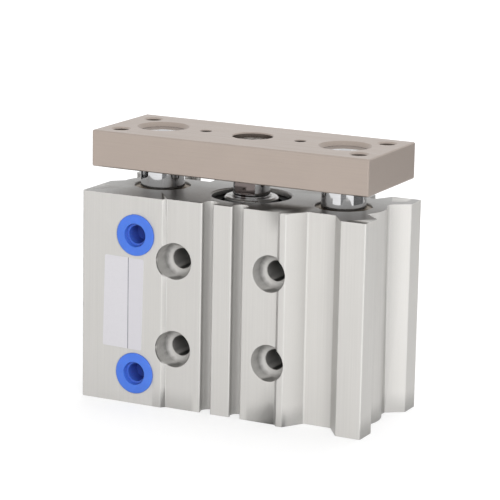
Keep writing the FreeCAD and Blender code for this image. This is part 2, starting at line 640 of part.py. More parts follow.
def guide_rod(x):
    radius = GUIDE_ROD_D / 2
    top = PLATE_TOP - GUIDE_ROD_SINK
    bottom = GUIDE_ROD_BOTTOM
    chamfer = ROD_END_CHAMFER
    top_chamfer = ROD_TOP_CHAMFER
    centre_r = CENTRE_DRILL_D / 2
    return revolved([(0, bottom + centre_r), (centre_r, bottom), (radius - chamfer, bottom),
                     (radius, bottom + chamfer), (radius, top - top_chamfer), (radius - top_chamfer, top),
                     (centre_r, top), (0, top - centre_r)], x)


def piston_rod():
    """Rod with wrench flats under the plate, a tapped top end and a spigot for the piston."""
    radius = ROD_D / 2
    spigot_r = SPIGOT_D / 2
    core_r = SCREW_D / 2 + SEAT_FIT
    spigot_bottom = PISTON_BOTTOM + SEAT_FIT
    hole_bottom = PLATE_BOTTOM - SCREW_REACH - SCREW_TIP_ROOM
    rod = revolved([(0, spigot_bottom), (spigot_r, spigot_bottom), (spigot_r, PISTON_TOP),
                    (radius, PISTON_TOP), (radius, PLATE_BOTTOM), (core_r, PLATE_BOTTOM),
                    (core_r, hole_bottom), (0, hole_bottom - cone_depth(core_r, DRILL_POINT_ANGLE))])
    flats_bottom = PLATE_BOTTOM - ROD_FLATS_LENGTH
    half = ROD_FLATS / 2
    waste = radius - half + PAST
    wastes = [Part.makeBox(2 * (radius + PAST), waste, ROD_FLATS_LENGTH + PAST,
                           Vector(-radius - PAST, y, flats_bottom)) for y in (half, -half - waste)]
    return rod.cut(wastes)


def plate_screw():
    """Low-head socket screw that clamps the plate on the rod's end."""
    head_top = SCREW_SEAT_Z + SCREW_HEAD_T
    head_r = SCREW_HEAD_D / 2
    shank_r = SCREW_D / 2
    tip = PLATE_BOTTOM - SCREW_REACH
    chamfer = MOUTH_CHAMFER
    screw = revolved([(0, tip), (shank_r - chamfer, tip), (shank_r, tip + chamfer), (shank_r, SCREW_SEAT_Z),
                      (head_r, SCREW_SEAT_Z), (head_r, head_top - chamfer), (head_r - chamfer, head_top),
                      (0, head_top)])
    return screw.cut(hexagon(SCREW_SOCKET, head_top - SCREW_SOCKET_DEPTH, head_top + PAST))


def piston_levels():
    """Heights of the split, the magnet, the seal and the wear ring, from the piston's bottom up."""
    seal_low = PISTON_BOTTOM + PISTON_LAND
    magnet_low = seal_low + PISTON_SEAL_T + PISTON_LAND
    wear_low = magnet_low + MAGNET_T + PISTON_LAND
    return seal_low, magnet_low, wear_low


def piston_lower():
    """Head-side half with the seal groove, the nut recess and the magnet's shoulder."""
    seal_low, magnet_low, _ = piston_levels()
    outer = BORE_D / 2 - BORE_FIT
    groove = outer - PISTON_SEAL_DEPTH
    hole = SPIGOT_D / 2 + SEAT_FIT
    recess = NUT_RECESS_D / 2
    hub = outer - MAGNET_DEPTH
    return revolved([(recess, PISTON_BOTTOM), (outer, PISTON_BOTTOM), (outer, seal_low), (groove, seal_low),
                     (groove, seal_low + PISTON_SEAL_T), (outer, seal_low + PISTON_SEAL_T),
                     (outer, magnet_low), (hub, magnet_low), (hub, magnet_low + MAGNET_T),
                     (hole, magnet_low + MAGNET_T), (hole, PISTON_BOTTOM + NUT_T),
                     (recess, PISTON_BOTTOM + NUT_T)])


def piston_upper():
    """Rod-side half with the wear ring groove, closing the magnet in."""
    _, magnet_low, wear_low = piston_levels()
    outer = BORE_D / 2 - BORE_FIT
    groove = outer - WEAR_RING_DEPTH
    hole = SPIGOT_D / 2 + SEAT_FIT
    bottom = magnet_low + MAGNET_T
    return revolved([(hole, bottom), (outer, bottom), (outer, wear_low), (groove, wear_low),
                     (groove, wear_low + WEAR_RING_T), (outer, wear_low + WEAR_RING_T),
                     (outer, PISTON_TOP), (hole, PISTON_TOP)])


def wear_ring():
    low = piston_levels()[2]
    inner = BORE_D / 2 - BORE_FIT - WEAR_RING_DEPTH + SEAT_FIT
    return z_tube(BORE_D / 2 - RUN_FIT, inner, low, low + WEAR_RING_T)


def piston_seal():
    """Double-lipped seal with a waist between its lips."""
    low = piston_levels()[0]
    high = low + PISTON_SEAL_T
    outer = BORE_D / 2 - RUN_FIT
    inner = BORE_D / 2 - BORE_FIT - PISTON_SEAL_DEPTH + SEAT_FIT
    waist = outer - PISTON_SEAL_WAIST
    lip = PISTON_SEAL_LIP_T
    return revolved([(inner, low), (outer, low), (outer, low + lip), (waist, (low + high) / 2),
                     (outer, high - lip), (outer, high), (inner, high)])


def magnet():
    low = piston_levels()[1]
    outer = BORE_D / 2 - BORE_FIT
    return z_tube(outer, outer - MAGNET_DEPTH + SEAT_FIT, low, low + MAGNET_T)


def piston_nut():
    nut = hexagon(NUT_ACROSS_FLATS, PISTON_BOTTOM, PISTON_BOTTOM + NUT_T)
    hole = z_cylinder(SPIGOT_D / 2 + SEAT_FIT, PISTON_BOTTOM - PAST, PISTON_BOTTOM + NUT_T + PAST)
    return nut.cut(hole)


# --- Write every piece -----------------------------------------------------------------------
def main():
    os.makedirs("parts", exist_ok=True)
    pieces = {
        "housing": housing(),
        "rod_collar": rod_collar(),
        "rod_bushing": rod_bushing(),
        "rod_seal": rod_seal(),
        "collar_o_ring": o_ring(ROD_SEAT_Z + O_RING_INSET),
        "bumper_rod_side": bumper_rod_side(),
        "retaining_ring_top": retaining_ring(RING_TOP_Z, 1),
        "head_cover": head_cover(),
        "head_cover_o_ring": o_ring(head_groove_bottom()),
        "bumper_head_side": bumper_head_side(),
        "retaining_ring_bottom": retaining_ring(RING_GROOVE_INSET, 1),
        "end_plate": end_plate(),
        "piston_rod": piston_rod(),
        "plate_screw": plate_screw(),
        "piston_lower": piston_lower(),
        "piston_upper": piston_upper(),
        "piston_nut": piston_nut(),
        "piston_seal": piston_seal(),
        "magnet": magnet(),
        "wear_ring": wear_ring(),
    }
    for name, z in port_heights().items():
        pieces["port_cap_" + name] = port_cap(z)
    for name, side in SIDES.items():
        x = side * GUIDE_X
        pieces["guide_rod_" + name] = guide_rod(x)
        pieces["guide_bushing_upper_" + name] = guide_bushing(x, UPPER_BUSHING_TOP - UPPER_BUSHING_LENGTH,
                                                              UPPER_BUSHING_TOP)
        pieces["guide_bushing_lower_" + name] = guide_bushing(x, BUSHING_INSET,
                                                              BUSHING_INSET + LOWER_BUSHING_LENGTH)
        pieces["oil_felt_" + name] = oil_felt(x)
    for name, shape in pieces.items():
        export(name, shape)


main()
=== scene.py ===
import json
import math

import bmesh
import bpy
from mathutils import Matrix, Vector


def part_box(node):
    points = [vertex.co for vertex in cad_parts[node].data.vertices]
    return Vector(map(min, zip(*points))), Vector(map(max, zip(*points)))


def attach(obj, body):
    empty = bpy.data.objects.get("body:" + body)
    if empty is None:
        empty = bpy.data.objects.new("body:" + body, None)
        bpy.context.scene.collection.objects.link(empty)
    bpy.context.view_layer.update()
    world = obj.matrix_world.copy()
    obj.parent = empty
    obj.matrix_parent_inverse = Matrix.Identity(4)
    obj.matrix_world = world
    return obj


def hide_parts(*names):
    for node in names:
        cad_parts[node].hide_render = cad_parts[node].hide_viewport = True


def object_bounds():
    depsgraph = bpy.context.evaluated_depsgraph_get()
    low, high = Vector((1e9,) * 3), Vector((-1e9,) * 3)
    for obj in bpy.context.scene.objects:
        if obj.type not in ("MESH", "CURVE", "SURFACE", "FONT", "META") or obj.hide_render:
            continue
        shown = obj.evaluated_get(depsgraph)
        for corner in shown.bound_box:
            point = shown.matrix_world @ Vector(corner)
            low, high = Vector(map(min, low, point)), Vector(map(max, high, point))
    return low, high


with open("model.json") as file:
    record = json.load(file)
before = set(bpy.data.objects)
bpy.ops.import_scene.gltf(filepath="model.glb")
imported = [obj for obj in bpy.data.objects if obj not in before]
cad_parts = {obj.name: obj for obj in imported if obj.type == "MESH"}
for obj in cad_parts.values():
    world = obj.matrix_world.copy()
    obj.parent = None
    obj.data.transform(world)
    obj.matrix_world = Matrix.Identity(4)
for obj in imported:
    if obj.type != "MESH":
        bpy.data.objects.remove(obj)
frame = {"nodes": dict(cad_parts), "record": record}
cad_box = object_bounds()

MM = 0.001

# --- Camera, as it stands in the reference view ------------------------------------------------
CAMERA_AZIMUTH = 26.559                # degrees, 0 at the front and turning towards +X
CAMERA_ELEVATION = 12.706              # degrees
CAMERA_ROLL = math.radians(1.082)
CAMERA_DISTANCE = 660.0 * MM
CAMERA_LENS = 176.9
CAMERA_SENSOR = 36
CAMERA_CLIP = (0.05, 50)
CAMERA_AIM_HEIGHT = 36.0 * MM
CAMERA_AIM_RIGHT = -0.15 * MM
CAMERA_AIM_UP = 5.79 * MM

# --- Lights and stage: angles in degrees, lengths in metres ------------------------------------
AMBIENT = 0.20                         # the world's strength on matt surfaces
LAMP_DISTANCE = 0.9
LAMP_SIZE = 0.6
LAMPS = {"overhead": {"azimuth": 190, "elevation": 70, "power": 6.6},
         "front": {"azimuth": 34, "elevation": 17, "power": 8.1}}
# Low grey cards that only reflections see: where each one stands, how wide and high, how bright.
CARDS = {"left": {"azimuth": -92, "spread": 70, "foot": 0.0, "head": 0.03, "level": 0.01},
         "middle": {"azimuth": 30, "spread": 26, "foot": 0.0, "head": 0.03, "level": 0.28},
         "right": {"azimuth": 108, "spread": 64, "foot": 0.0, "head": 0.03, "level": 0.16},
         "plate_end": {"azimuth": 150, "spread": 40, "foot": 0.021, "head": 0.10, "level": 0.60}}
CARD_DISTANCE = 0.19
FLOOR_HALF = 6.0
FLOOR_GAP = 0.02 * MM                  # keeps the floor clear of the part's underside
FLOOR_GLOW = (0.70, 1.0)               # what the camera and reflections see added, near and far
FLOOR_GLOW_AT = (0.1, 0.6)             # how far from the middle near and far are

# --- Sizes of what the scene adds, in millimetres ----------------------------------------------
LABEL = {"left": -34.8, "right": -22.95, "low": 15.1, "high": 40.15, "thick": 0.1, "corner": 0.5}
LABEL_DIVIDER = -27.35
LABEL_LINE = (0.07, 0.13)              # the divider fades out between these, from its middle
LABEL_FIELD_BLEND = 0.01
LABEL_TILT = math.radians(1.2)         # its top leans towards the holes
CORNER_STEPS = 6
THREAD_PITCH = 0.8
THREAD_DEPTH = 0.24
THREAD_STEPS = 40                      # sections in one turn
THREAD_INSET = 0.7                     # from a face to where the thread starts
BOTTOM_THREAD_TOP = 11.5
RIDGE_ROOT, RIDGE_CREST = 0.42, 0.06   # half widths, as shares of the pitch
RIDGE_SINK = 0.02                      # how far the ridge's root is set into the wall
RIDGE_FADE = 0.4                       # share of a turn over which the ridge rises at each end
CUTTER_R = 5.03
CUTTER_LENGTH = 1.4
CUTTER_AHEAD = 0.3                     # from the housing's front to the cutter's middle
CUTTER_SIDES = 72
WELD = 0.0005
NORMAL_WEIGHT = 80
SMOOTH_ANGLE = math.radians(35)

# --- Zones of the part where shade and a reflection are painted, in millimetres ----------------
HOLES_INNER = (7.5, 8.5)               # the counterbores lie between these, left and right; painted shade darkens them
HOLES_OUTER = (19.5, 20.0)
FLATS_START = (56.2, 56.6)             # height at which the piston rod's wrench flats begin

# --- Colours and levels that several finishes share --------------------------------------------
BLACK = (0, 0, 0)
WHITE = (1, 1, 1, 1)
NOISE_RANGE = (0.3, 0.7)               # what nearly all of a noise texture lies within
EDGE_RANGE = (0.86, 0.995)             # how far a bevelled normal agrees with the plain one
RAY_SAMPLES = 6                        # of the bevel and hollow nodes

# Sockets of the Mix node in colour mode, which share their names with those of its other modes.
MIX_FACTOR, MIX_A, MIX_B, MIX_RESULT = 0, 6, 7, 2

FIXED = "cylinder_body"
MOVING = "plate_assembly"
SIDES = ("left", "right")

nodes = frame["nodes"]


# --- Node helpers ------------------------------------------------------------------------------
class Nodes:
    """Short calls that add nodes to one tree and link them."""

    def __init__(self, tree):
        self.tree = tree

    def set(self, node, socket, value):
        if isinstance(value, bpy.types.NodeSocket):
            self.tree.links.new(value, node.inputs[socket])
        else:
            node.inputs[socket].default_value = value

    def add(self, kind, output=0, inputs=None, **settings):
        node = self.tree.nodes.new("ShaderNode" + kind)
        for name, value in settings.items():
            setattr(node, name, value)
        for socket, value in (inputs or {}).items():
            self.set(node, socket, value)
        return node.outputs[output]

    def math(self, operation, *values):
        return self.add("Math", inputs=dict(enumerate(values)), operation=operation)

    def times(self, a, b):
        return self.math("MULTIPLY", a, b)

    def plus(self, a, b):
        return self.math("ADD", a, b)

    def rays(self, *kinds):
        """1 for a ray of any of these kinds."""
        path = self.tree.nodes.new("ShaderNodeLightPath")
        seen = path.outputs[kinds[0]]
        for kind in kinds[1:]:
            seen = self.math("MAXIMUM", seen, path.outputs[kind])
        return seen


class Shader(Nodes):
    """A material with one Principled shader, and the patterns that the finishes share."""

    def __init__(self, name, color, metallic=0.0, roughness=0.5, **sockets):
        self.material = bpy.data.materials.new(name)
        self.material.use_nodes = True
        super().__init__(self.material.node_tree)
        self.bsdf = self.tree.nodes["Principled BSDF"]
        self.set(self.bsdf, "Base Color", (*color, 1))
        self.set(self.bsdf, "Metallic", metallic)
        self.set(self.bsdf, "Roughness", roughness)
        for socket, value in sockets.items():
            self.set(self.bsdf, socket.replace("_", " "), value)
        self.coords = self.tree.nodes.new("ShaderNodeTexCoord")

    def place(self, scale, location=(0, 0, 0)):
        """Object coordinates in metres, scaled to cells per metre along each axis."""
        return self.add("Mapping", inputs={"Vector": self.coords.outputs["Object"],
                                           "Scale": scale, "Location": location})

    def axis(self, letter, source="Object"):
        return self.add("SeparateXYZ", letter, {"Vector": self.coords.outputs[source]})

    def noise(self, scale, detail=3.0, roughness=0.55, location=(0, 0, 0)):
        scale = scale if isinstance(scale, tuple) else (scale,) * 3
        return self.add("TexNoise", inputs={"Vector": self.place(scale, location), "Scale": 1.0,
                                            "Detail": detail, "Roughness": roughness})

    def spread(self, value, low, high, from_low=0.0, from_high=1.0):
        return self.add("MapRange", inputs={"Value": value, "From Min": from_low,
                                            "From Max": from_high, "To Min": low,
                                            "To Max": high}, clamp=True)

    def mask(self, value, start, end, most=1.0):
        """0 at start, rising to most at end."""
        return self.spread(value, 0.0, most, start, end)

    def over(self, noise, low, high):
        """A level that follows a noise from low to high."""
        return self.spread(noise, low, high, *NOISE_RANGE)

    def mix(self, factor, a, b):
        """Colour mix of two colours or colour sockets."""
        node = self.tree.nodes.new("ShaderNodeMix")
        node.data_type = "RGBA"
        self.set(node, MIX_FACTOR, factor)
        for socket, value in ((MIX_A, a), (MIX_B, b)):
            is_socket = isinstance(value, bpy.types.NodeSocket)
            self.set(node, socket, value if is_socket else (*value, 1))
        return node.outputs[MIX_RESULT]

    def two_tone(self, noise, color, dark, light):
        """The colour, darker and lighter by turns as the noise goes."""
        return self.mix(self.over(noise, 0.0, 1.0), shade(color, dark), shade(color, light))

    def edges(self, radius):
        """1 on edges and corners, 0 on flat ground, and the rounded normal to shade them with."""
        rounded = self.add("Bevel", inputs={"Radius": radius * MM}, samples=RAY_SAMPLES)
        plain = self.add("NewGeometry", "Normal")
        dot = self.add("VectorMath", "Value", {0: rounded, 1: plain}, operation="DOT_PRODUCT")
        return self.spread(dot, 1.0, 0.0, *EDGE_RANGE), rounded

    def hollow(self, reach):
        """0 in the open, up to 1 deep inside a groove or a hole of about that size."""
        openness = self.add("AmbientOcclusion", "AO", {"Distance": reach * MM},
                            samples=RAY_SAMPLES)
        return self.math("SUBTRACT", 1.0, openness)

    def bump(self, height, strength, distance, normal=None):
        inputs = {"Height": height, "Strength": strength, "Distance": distance * MM}
        if normal is not None:
            inputs["Normal"] = normal
        return self.add("Bump", inputs=inputs)

    def finish(self, color, roughness=None, normal=None):
        for socket, value in (("Base Color", color), ("Roughness", roughness),
                              ("Normal", normal)):
            if value is not None:
                self.set(self.bsdf, socket, value)
        return self.material

    def show(self, surface):
        """Send another shader than the Principled one to the material's output."""
        self.set(self.tree.nodes["Material Output"], "Surface", surface)
        return self.material


def shade(color, factor):
    return tuple(min(1.0, channel * factor) for channel in color)


# --- Materials ---------------------------------------------------------------------------------
def anodised_body():
    """Clear anodised extrusion: faint lines along the stroke, and face-milled ends whose colour
    is set dark as painted shade of the plate above.

    Painted shade darkens the hollows, most of all the walls facing right in the grooves and
    counterbores. Edges and faces turned to the front right get a painted highlight, which at
    edges is partly the bare metal of deburring.
    """
    # end is the milled ends' colour, set dark as painted shade of the plate above; bright is a
    # painted highlight for edges and faces turned to the front right.
    base, end, bright = (0.635, 0.620, 0.595), (0.345, 0.34, 0.33), (0.80, 0.79, 0.77)
    s = Shader("anodised_aluminium", base, metallic=0.22, roughness=0.42)
    lines = s.noise((2600, 2600, 26), detail=4.0)
    grain = s.noise(5200, detail=2.0)
    clouds = s.noise(55)
    scratches = s.noise((900, 3800, 900), detail=5.0, location=(3, 1, 0))
    arcs = s.add("TexWave", inputs={"Vector": s.place((1, 1, 0), (0.31, -0.05, 0)),
                                    "Scale": 620.0, "Distortion": 0.6, "Detail": 3.0,
                                    "Detail Scale": 3.0},
                 wave_type="RINGS", rings_direction="Z")
    edge, rounded = s.edges(0.3)
    hollow = s.hollow(6.0)
    is_end = s.mask(s.math("ABSOLUTE", s.axis("Z", "Normal")), 0.9, 0.97)
    across = s.axis("X", "Normal")
    # Painted light: a mask of faces turned towards the front right, which are made lighter.
    front_right_painted_light = s.mask(s.times(across, s.axis("Y", "Normal")), -0.1, -0.45, 0.5)
    facing_right = s.mask(across, 0.2, 0.8)
    off_centre = s.math("ABSOLUTE", s.axis("X"))
    by_holes = s.times(s.spread(off_centre, 0.0, 1.0, *(x * MM for x in HOLES_INNER)),
                       s.spread(off_centre, 1.0, 0.0, *(x * MM for x in HOLES_OUTER)))
    # Painted shade masks: in the counterbores, and on walls facing right inside grooves and
    # holes.
    pocket_shade = s.times(by_holes, s.mask(hollow, 0.08, 0.38))
    right_wall_shade = s.times(facing_right, s.mask(hollow, 0.05, 0.35, 0.42))
    pocket_wall_shade = s.times(facing_right, s.times(pocket_shade, 0.62))

    side = s.two_tone(lines, base, 0.965, 1.03)
    side = s.mix(s.mask(clouds, 0.4, 0.7, 0.35), side, shade(base, 0.95))
    cut = s.mix(s.mask(scratches, 0.35, 0.68), shade(end, 0.92), shade(end, 1.06))
    cut = s.mix(s.spread(arcs, 0.0, 0.2), cut, shade(end, 1.2))
    color = s.mix(is_end, side, cut)
    # Painted highlight on edges, partly the bare metal of deburred edges.
    color = s.mix(s.times(edge, 0.7), color, bright)
    # Painted light on faces turned towards the front right.
    color = s.mix(s.times(front_right_painted_light, 0.8), color, bright)
    # Painted shade: deep hollows near black, then the counterbores, then walls facing right.
    color = s.mix(s.mask(hollow, 0.90, 1.0, 0.7), color, BLACK)
    color = s.mix(s.times(pocket_shade, 0.25), color, BLACK)
    color = s.mix(s.math("MAXIMUM", right_wall_shade, pocket_wall_shade), color, BLACK)
    s.set(s.bsdf, "Metallic", s.spread(is_end, 0.22, 0.92))
    rough = s.plus(s.spread(is_end, 0.42, 0.36), s.over(grain, -0.05, 0.05))
    height = s.plus(s.times(lines, 0.7), s.times(grain, 0.5))
    height = s.plus(height, s.times(s.times(is_end, arcs), 0.8))
    return s.finish(color, rough, s.bump(height, 0.22, 0.02, rounded))


def ground_nickel():
    """Nickel plated steel, ground lengthways, a little warm, with a few fine scuffs, a painted
    highlight on its edges and painted shade inside its holes.
    """
    base = (0.420, 0.356, 0.314)
    s = Shader("ground_nickel_plate", base, metallic=0.85, roughness=0.36)
    strokes = s.noise((34, 2600, 2600), detail=5.0)
    fine = s.noise((160, 6000, 6000), detail=2.0, location=(1, 2, 3))
    clouds = s.noise(70, detail=4.0)
    edge, rounded = s.edges(0.25)
    color = s.two_tone(strokes, base, 0.95, 1.05)
    color = s.mix(s.mask(clouds, 0.42, 0.72, 0.4), color, shade(base, 1.08))
    # Painted highlight on edges.
    color = s.mix(s.times(edge, 0.25), color, (0.68, 0.64, 0.60))
    # Painted shade inside the holes and wells.
    color = s.mix(s.mask(s.hollow(4.0), 0.05, 0.55, 0.85), color, (0.02, 0.015, 0.012))
    rough = s.plus(s.over(strokes, 0.28, 0.46), s.over(fine, -0.03, 0.03))
    height = s.plus(s.times(strokes, 0.6), s.times(fine, 0.4))
    return s.finish(color, rough, s.bump(height, 0.18, 0.015, rounded))


def hard_chrome(name, level, flats=False):
    """Polished chrome over a ground rod: hair-fine rings, a painted highlight on edges, and if
    asked, milled flats coloured as a dark warm painted reflection of the plate's underside.
    """
    base = (level, level, level * 1.015)
    s = Shader(name, base, metallic=1.0, roughness=0.06)
    rings = s.noise((60, 60, 5200))
    smears = s.noise((260, 260, 120))
    edge, rounded = s.edges(0.2)
    color = s.two_tone(rings, base, 0.94, 1.04)
    # Painted highlight: edges lighter.
    color = s.mix(s.times(edge, 0.5), color, (0.85, 0.85, 0.85))
    if flats:
        faces_front = s.mask(s.math("ABSOLUTE", s.axis("Y", "Normal")), 0.985, 0.995)
        high_enough = s.mask(s.axis("Z"), *(z * MM for z in FLATS_START))
        # Painted reflection: the milled flats take a dark warm colour that stands for the plate's
        # underside mirrored in them.
        painted_flat_reflection = s.mix(smears, (0.20, 0.165, 0.16), (0.13, 0.11, 0.105))
        color = s.mix(s.times(faces_front, high_enough), color, painted_flat_reflection)
    rough = s.plus(s.over(rings, 0.045, 0.085), s.mask(smears, 0.45, 0.75, 0.04))
    return s.finish(color, rough, s.bump(rings, 0.06, 0.01, rounded))


def turned_metal(name, base, metallic, roughness, edge_highlight_color=None, **sockets):
    """Metal from a lathe: fine rings about the stroke axis plus a soft mottling, and lighter
    edges as a painted highlight.
    """
    s = Shader(name, base, metallic=metallic, roughness=roughness, **sockets)
    grooves = s.noise((300, 300, 5000))
    mottle = s.noise(700, detail=4.0)
    edge, rounded = s.edges(0.15)
    color = s.two_tone(grooves, base, 0.88, 1.1)
    color = s.mix(s.mask(mottle, 0.45, 0.75, 0.5), color, shade(base, 0.8))
    # Painted highlight on edges.
    color = s.mix(s.times(edge, 0.5), color, edge_highlight_color or shade(base, 1.35))
    rough = s.over(mottle, roughness - 0.06, roughness + 0.08)
    return s.finish(color, rough, s.bump(grooves, 0.15, 0.015, rounded))


def moulded(name, base, roughness):
    """Moulded rubber or plastic: a fine texture, soft flow clouds and lighter edges as a painted
    highlight.
    """
    s = Shader(name, base, roughness=roughness)
    texture = s.noise(4200, detail=2.0)
    clouds = s.noise(240)
    edge, rounded = s.edges(0.18)
    color = s.two_tone(clouds, base, 0.94, 1.06)
    # Painted highlight: a lighter colour for the edges.
    painted_edge_highlight = tuple(min(1, channel * 1.25 + 0.03) for channel in base)
    color = s.mix(s.times(edge, 0.25), color, painted_edge_highlight)
    rough = s.over(texture, roughness - 0.05, roughness + 0.07)
    return s.finish(color, rough, s.bump(texture, 0.1, 0.02, rounded))


def wool_felt():
    base = (0.55, 0.52, 0.45)
    s = Shader("wool_felt", base, roughness=0.95)
    fibres = s.noise(2600, detail=6.0, roughness=0.7)
    return s.finish(s.two_tone(fibres, base, 0.65, 1.15), None, s.bump(fibres, 0.8, 0.08))


def paper_label():
    """Blank sticker: pale film in two fields with a thin divider and a faint fibre."""
    base = (0.730, 0.715, 0.745)
    s = Shader("blank_sticker", base, roughness=0.38, Specular_IOR_Level=0.4)
    fibre = s.noise(1800)
    offset = s.math("SUBTRACT", s.axis("X"), LABEL_DIVIDER * MM)
    right_field = s.mask(offset, -LABEL_FIELD_BLEND * MM, LABEL_FIELD_BLEND * MM)
    line = s.spread(s.math("ABSOLUTE", offset), 1.0, 0.0, *(x * MM for x in LABEL_LINE))
    color = s.mix(right_field, base, (0.700, 0.685, 0.720))
    color = s.mix(s.mask(fibre, 0.4, 0.7, 0.3), color, shade(base, 0.93))
    color = s.mix(line, color, (0.17, 0.165, 0.20))
    return s.finish(color, s.over(fibre, 0.34, 0.46), s.bump(fibre, 0.1, 0.02))


def cap_plastic():
    """Glossy blue plastic, with painted shade inside the cap and a painted highlight on its
    edges.
    """
    base = (0.075, 0.205, 0.78)
    s = Shader("cap_plastic", base, roughness=0.38, Subsurface_Weight=0.08,
               Subsurface_Scale=0.0008)
    texture = s.noise(1500, detail=2.0)
    clouds = s.noise(240)
    edge, rounded = s.edges(0.18)
    color = s.two_tone(clouds, base, 0.95, 1.05)
    # Painted highlight on edges.
    color = s.mix(s.times(edge, 0.2), color, (0.13, 0.29, 0.88))
    # Painted shade inside the cap.
    color = s.mix(s.mask(s.hollow(5.0), 0.1, 0.8, 0.85), color, (0.02, 0.03, 0.23))
    return s.finish(color, s.over(texture, 0.33, 0.45), s.bump(texture, 0.06, 0.02, rounded))


def paint(names, material):
    for name in names:
        mesh = nodes[name].data
        mesh.materials.clear()
        mesh.materials.append(material)


def dress_cad_nodes():
    collar = turned_metal("turned_collar", (0.62, 0.62, 0.61), 0.9, 0.3,
                          edge_highlight_color=(0.85, 0.85, 0.84))
    bronze = turned_metal("bushing_bronze", (0.30, 0.25, 0.19), 0.85, 0.36,
                          edge_highlight_color=(0.50, 0.45, 0.38))
    black_steel = turned_metal("black_spring_steel", (0.012, 0.012, 0.012), 0.0, 0.6,
                               edge_highlight_color=(0.04, 0.04, 0.04), Specular_IOR_Level=0.2)
    steel = turned_metal("plated_screw_steel", (0.42, 0.40, 0.38), 0.9, 0.26,
                         edge_highlight_color=(0.75, 0.73, 0.7))
    piston = turned_metal("turned_piston", (0.55, 0.56, 0.57), 0.9, 0.3)
    magnet = turned_metal("sintered_magnet", (0.03, 0.03, 0.03), 0.4, 0.55)
    rubber = moulded("nitrile_rubber", (0.012, 0.012, 0.013), 0.55)
    urethane = moulded("urethane", (0.30, 0.16, 0.05), 0.4)
    resin = moulded("wear_resin", (0.62, 0.58, 0.47), 0.5)
    bushings = [f"guide_bushing_{level}_{side}" for level in ("upper", "lower")
                for side in SIDES]
    paint(["housing"], anodised_body())
    paint(["end_plate"], ground_nickel())
    paint(["guide_rod_" + side for side in SIDES], hard_chrome("guide_chrome", 0.60))
    paint(["piston_rod"], hard_chrome("rod_chrome", 0.55, flats=True))
    paint(["rod_collar", "head_cover"], collar)
    paint(["rod_bushing"] + bushings, bronze)
    paint(["retaining_ring_top", "retaining_ring_bottom"], black_steel)
    paint(["rod_seal", "collar_o_ring", "head_cover_o_ring", "piston_seal"], rubber)
    paint(["bumper_rod_side", "bumper_head_side"], urethane)
    paint(["plate_screw", "piston_nut"], steel)
    paint(["piston_lower", "piston_upper"], piston)
    paint(["magnet"], magnet)
    paint(["wear_ring"], resin)
    paint(["oil_felt_" + side for side in SIDES], wool_felt())
    paint(["port_cap_upper", "port_cap_lower"], cap_plastic())


# --- Mesh helpers ------------------------------------------------------------------------------
def add_object(name, data):
    item = bpy.data.objects.new(name, data)
    bpy.context.scene.collection.objects.link(item)
    return item


def add_piece(name, mesh, material, body):
    piece = add_object(name, mesh)
    mesh.materials.append(material)
    for polygon in mesh.polygons:
        polygon.use_smooth = True
    mesh.set_sharp_from_angle(angle=SMOOTH_ANGLE)
    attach(piece, body)
    return piece


def mesh_from(name, vertices, faces):
    mesh = bpy.data.meshes.new(name)
    mesh.from_pydata(vertices, [], faces)
    work = bmesh.new()
    work.from_mesh(mesh)
    bmesh.ops.recalc_face_normals(work, faces=work.faces)
    work.to_mesh(mesh)
    work.free()
    return mesh


def thread_helix(name, x, y, bottom, top, core_r):
    """Ridge of an inside thread: a tapered section swept up a helix, in millimetres."""
    count = int((top - bottom - THREAD_PITCH) / THREAD_PITCH * THREAD_STEPS)
    fade_steps = RIDGE_FADE * THREAD_STEPS
    section = ((0.0, -RIDGE_ROOT), (-1.0, -RIDGE_CREST), (-1.0, RIDGE_CREST), (0.0, RIDGE_ROOT))
    vertices = []
    for step in range(count + 1):
        angle = 2 * math.pi * step / THREAD_STEPS
        fade = min(1.0, step / fade_steps, (count - step) / fade_steps)
        height = bottom + THREAD_PITCH / 2 + THREAD_PITCH * step / THREAD_STEPS
        for inward, lift in section:
            radius = core_r + RIDGE_SINK + inward * THREAD_DEPTH * fade
            vertices.append(Vector((x + radius * math.cos(angle), y + radius * math.sin(angle),
                                    height + lift * THREAD_PITCH)) * MM)
    n = len(section)
    faces = [(n * s + a, n * s + (a + 1) % n, n * (s + 1) + (a + 1) % n, n * (s + 1) + a)
             for s in range(count) for a in range(n)]
    faces += [tuple(range(n)), tuple(range(n * count, n * count + n))]
    return mesh_from(name, vertices, faces)


def rounded_sheet(name, left, right, low, high, face_y, thick, corner):
    """Thin upright sheet with rounded corners, its back on face_y and its front towards -Y."""
    outline = []
    for cx, cz, start in ((right - corner, low + corner, -90), (right - corner, high - corner, 0),
                          (left + corner, high - corner, 90), (left + corner, low + corner, 180)):
        for step in range(CORNER_STEPS + 1):
            angle = math.radians(start + 90 * step / CORNER_STEPS)
            outline.append((cx + corner * math.cos(angle), cz + corner * math.sin(angle)))
    count = len(outline)
    vertices = [Vector((x, face_y - depth, z)) * MM for depth in (0.0, thick)
                for x, z in outline]
    faces = [tuple(range(count)), tuple(range(count, 2 * count))]
    faces += [(k, (k + 1) % count, count + (k + 1) % count, count + k) for k in range(count)]
    return mesh_from(name, vertices, faces)


def hole_pattern(name):
    """One of the record's four-hole patterns: its centre in metres, and in millimetres half its
    two spacings and its hole radius.
    """
    mount = next(m for m in frame["record"]["mounts"] if m["name"] == name)
    dims = mount["dims"]
    half = (dims["spacing_x_mm"] / 2, dims["spacing_y_mm"] / 2)
    return Vector(mount["pos_m"]), half, dims["hole_r_mm"]


# --- Added pieces ------------------------------------------------------------------------------
def add_label():
    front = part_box("housing")[0].y / MM
    mesh = rounded_sheet("blank_label", face_y=front, **LABEL)
    centre = Vector((LABEL["left"] + LABEL["right"], 2 * front,
                     LABEL["low"] + LABEL["high"])) * MM / 2
    mesh.transform(Matrix.Translation(centre) @ Matrix.Rotation(LABEL_TILT, 4, "Y")
                   @ Matrix.Translation(-centre))
    add_piece("blank_label", mesh, paper_label(), FIXED)


